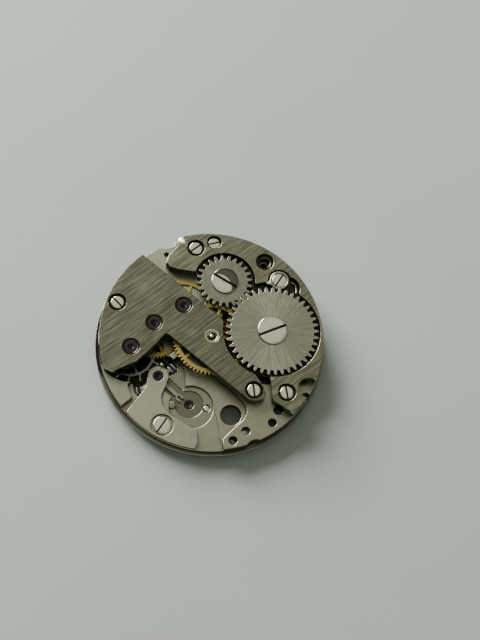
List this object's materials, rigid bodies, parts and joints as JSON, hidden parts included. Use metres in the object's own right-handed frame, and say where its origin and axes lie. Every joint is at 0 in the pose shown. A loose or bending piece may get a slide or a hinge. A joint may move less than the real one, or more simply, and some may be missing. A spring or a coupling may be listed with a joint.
{
  "type": "mechanical watch movement",
  "caption": "Hand-wound mechanical watch movement with small seconds, bridge side up: plate, bridges, barrel, train wheels, lever escapement and keyless works.",
  "frame": {"origin": "the plate's centre at the height of the minute hand post's tip, the lowest point", "axes": "+Z out of the bridge side, +X and +Y in the plate, the winding stem leaves at 76.8 degrees"},
  "size_m": [0.0232, 0.0232, 0.0042],
  "materials": {
    "nickel_plate": "nickel plated, fine grained matt",
    "nickel_bridge": "nickel plated, straight satin grain, polished bevels",
    "nickel_cock": "nickel plated, fine grained matt",
    "polished_steel": "mirror polished",
    "winding_steel": "radial and circular brushing",
    "tool_steel": "turned and polished",
    "spring_steel": "bright rolled",
    "gilt_brass": "satin gilt",
    "bushing_brass": "turned",
    "ruby": "polished synthetic ruby"
  },
  "bodies": {
    "frame": {"main_plate": "nickel_plate", "barrel_bridge": "nickel_bridge", "train_bridge": "nickel_bridge", "pallet_cock": "nickel_cock", "bridge_screws": "polished_steel", "pallet_cock_screw": "polished_steel", "crown_wheel_core": "tool_steel", "crown_wheel_screw": "polished_steel", "click_screw": "polished_steel", "click_spring": "spring_steel", "centre_bushing_lower": "bushing_brass", "centre_bushing_upper": "bushing_brass", "third_jewel_upper": "ruby", "third_jewel_lower": "ruby", "fourth_jewel_upper": "ruby", "fourth_jewel_lower": "ruby", "escape_jewel_upper": "ruby", "escape_jewel_lower": "ruby", "pallet_jewel_upper": "ruby", "pallet_jewel_lower": "ruby", "balance_hole_jewel": "ruby", "balance_cap_jewel": "ruby", "balance_cap_plate": "bushing_brass", "balance_cap_screw": "polished_steel", "setting_cover": "tool_steel", "setting_cover_screws": "polished_steel", "yoke_spring": "spring_steel"},
    "barrel": {"barrel_drum": "gilt_brass", "barrel_cover": "gilt_brass", "mainspring": "spring_steel"},
    "ratchet": {"ratchet_wheel": "winding_steel", "ratchet_screw": "polished_steel", "barrel_arbor": "tool_steel"},
    "crown_wheel": {"crown_wheel": "winding_steel"},
    "click": {"click": "winding_steel"},
    "centre_arbor": {"centre_wheel": "gilt_brass", "centre_pinion": "tool_steel"},
    "third_arbor": {"third_wheel": "gilt_brass", "third_pinion": "tool_steel"},
    "fourth_arbor": {"fourth_wheel": "gilt_brass", "fourth_pinion": "tool_steel"},
    "escape_arbor": {"escape_wheel": "tool_steel", "escape_pinion": "tool_steel"},
    "pallet_fork": {"pallet_fork": "tool_steel", "pallet_arbor": "tool_steel", "entry_stone": "ruby", "exit_stone": "ruby"},
    "cannon_pinion": {"cannon_pinion": "tool_steel"},
    "minute_wheel": {"minute_wheel": "gilt_brass"},
    "hour_wheel": {"hour_wheel": "gilt_brass"},
    "setting_wheel": {"setting_wheel": "tool_steel"},
    "winding_pinion": {"winding_pinion": "tool_steel"},
    "sliding_pinion": {"sliding_pinion": "tool_steel"},
    "setting_lever": {"setting_lever": "tool_steel", "setting_lever_screw": "polished_steel"},
    "yoke": {"yoke": "tool_steel"}
  },
  "joints": [
    {"name": "fourth_arbor_turn", "type": "hinge", "parent": "frame", "child": "fourth_arbor", "pos_m": [-0.00574, 0.00135, 0.002], "axis": [0, 0, 1], "continuous": true},
    {"name": "escape_arbor_turn", "type": "hinge", "parent": "frame", "child": "escape_arbor", "pos_m": [-0.00802, -0.00121, 0.0018], "axis": [0, 0, 1], "continuous": true},
    {"name": "third_arbor_turn", "type": "hinge", "parent": "frame", "child": "third_arbor", "pos_m": [-0.00279, 0.00326, 0.0028], "axis": [0, 0, 1], "continuous": true},
    {"name": "centre_arbor_turn", "type": "hinge", "parent": "frame", "child": "centre_arbor", "pos_m": [0, 0, 0.0032], "axis": [0, 0, 1], "continuous": true},
    {"name": "barrel_turn", "type": "hinge", "parent": "frame", "child": "barrel", "pos_m": [0.0061, 0.00063, 0.0023], "axis": [0, 0, 1], "continuous": true},
    {"name": "cannon_pinion_turn", "type": "hinge", "parent": "frame", "child": "cannon_pinion", "pos_m": [0, 0, 0.0013], "axis": [0, 0, 1], "continuous": true},
    {"name": "minute_wheel_turn", "type": "hinge", "parent": "frame", "child": "minute_wheel", "pos_m": [0.00059, 0.00253, 0.0013], "axis": [0, 0, 1], "continuous": true},
    {"name": "hour_wheel_turn", "type": "hinge", "parent": "frame", "child": "hour_wheel", "pos_m": [0, 0, 0.0012], "axis": [0, 0, 1], "continuous": true},
    {"name": "setting_wheel_turn", "type": "hinge", "parent": "frame", "child": "setting_wheel", "pos_m": [0.00126, 0.00538, 0.0014], "axis": [0, 0, 1], "continuous": true},
    {"name": "pallet_fork_swing", "type": "hinge", "parent": "frame", "child": "pallet_fork", "pos_m": [-0.00528, -0.00371, 0.0018], "axis": [0, 0, 1], "range_deg": [-1, 7.6]},
    {"name": "ratchet_wheel_turn", "type": "hinge", "parent": "frame", "child": "ratchet", "pos_m": [0.0061, 0.00063, 0.0037], "axis": [0, 0, 1], "continuous": true},
    {"name": "crown_wheel_turn", "type": "hinge", "parent": "frame", "child": "crown_wheel", "pos_m": [0.00139, 0.00593, 0.0037], "axis": [0, 0, 1], "continuous": true},
    {"name": "winding_pinion_turn", "type": "hinge", "parent": "frame", "child": "winding_pinion", "pos_m": [0.00201, 0.00857, 0.0024], "axis": [0.2284, 0.9736, 0], "continuous": true},
    {"name": "click_lift", "type": "hinge", "parent": "frame", "child": "click", "pos_m": [0.00699, 0.00614, 0.0037], "axis": [0, 0, 1], "range_deg": [0, 17], "stiffness_Nm_per_rad": 0.000001, "springref_deg": -11.46},
    {"name": "setting_lever_swing", "type": "hinge", "parent": "frame", "child": "setting_lever", "pos_m": [0.00039, 0.01023, 0.00157], "axis": [0, 0, 1], "range_deg": [0, 13]},
    {"name": "yoke_swing", "type": "hinge", "parent": "frame", "child": "yoke", "pos_m": [-0.00065, 0.00796, 0.00157], "axis": [0, 0, 1], "range_deg": [-13.5, 0]},
    {"name": "sliding_pinion_slide", "type": "slide", "parent": "winding_pinion", "child": "sliding_pinion", "axis": [0.2284, 0.9736, 0], "range_m": [-0.0004, 0]}
  ],
  "couplings": [
    {"joint": "escape_arbor_turn", "follows": "fourth_arbor_turn", "ratio": -10},
    {"joint": "third_arbor_turn", "follows": "fourth_arbor_turn", "ratio": -0.125},
    {"joint": "centre_arbor_turn", "follows": "fourth_arbor_turn", "ratio": 0.016667},
    {"joint": "barrel_turn", "follows": "fourth_arbor_turn", "ratio": -0.0041667},
    {"joint": "cannon_pinion_turn", "follows": "fourth_arbor_turn", "ratio": 0.016667},
    {"joint": "minute_wheel_turn", "follows": "fourth_arbor_turn", "ratio": -0.0055556},
    {"joint": "hour_wheel_turn", "follows": "fourth_arbor_turn", "ratio": 0.0013889},
    {"joint": "setting_wheel_turn", "follows": "fourth_arbor_turn", "ratio": 0.011111},
    {"joint": "crown_wheel_turn", "follows": "ratchet_wheel_turn", "ratio": -1.7083},
    {"joint": "winding_pinion_turn", "follows": "ratchet_wheel_turn", "ratio": 3.7273},
    {"joint": "yoke_swing", "follows": "sliding_pinion_slide", "rad_per_m": 589.05},
    {"joint": "setting_lever_swing", "follows": "sliding_pinion_slide", "rad_per_m": -567.23}
  ]
}
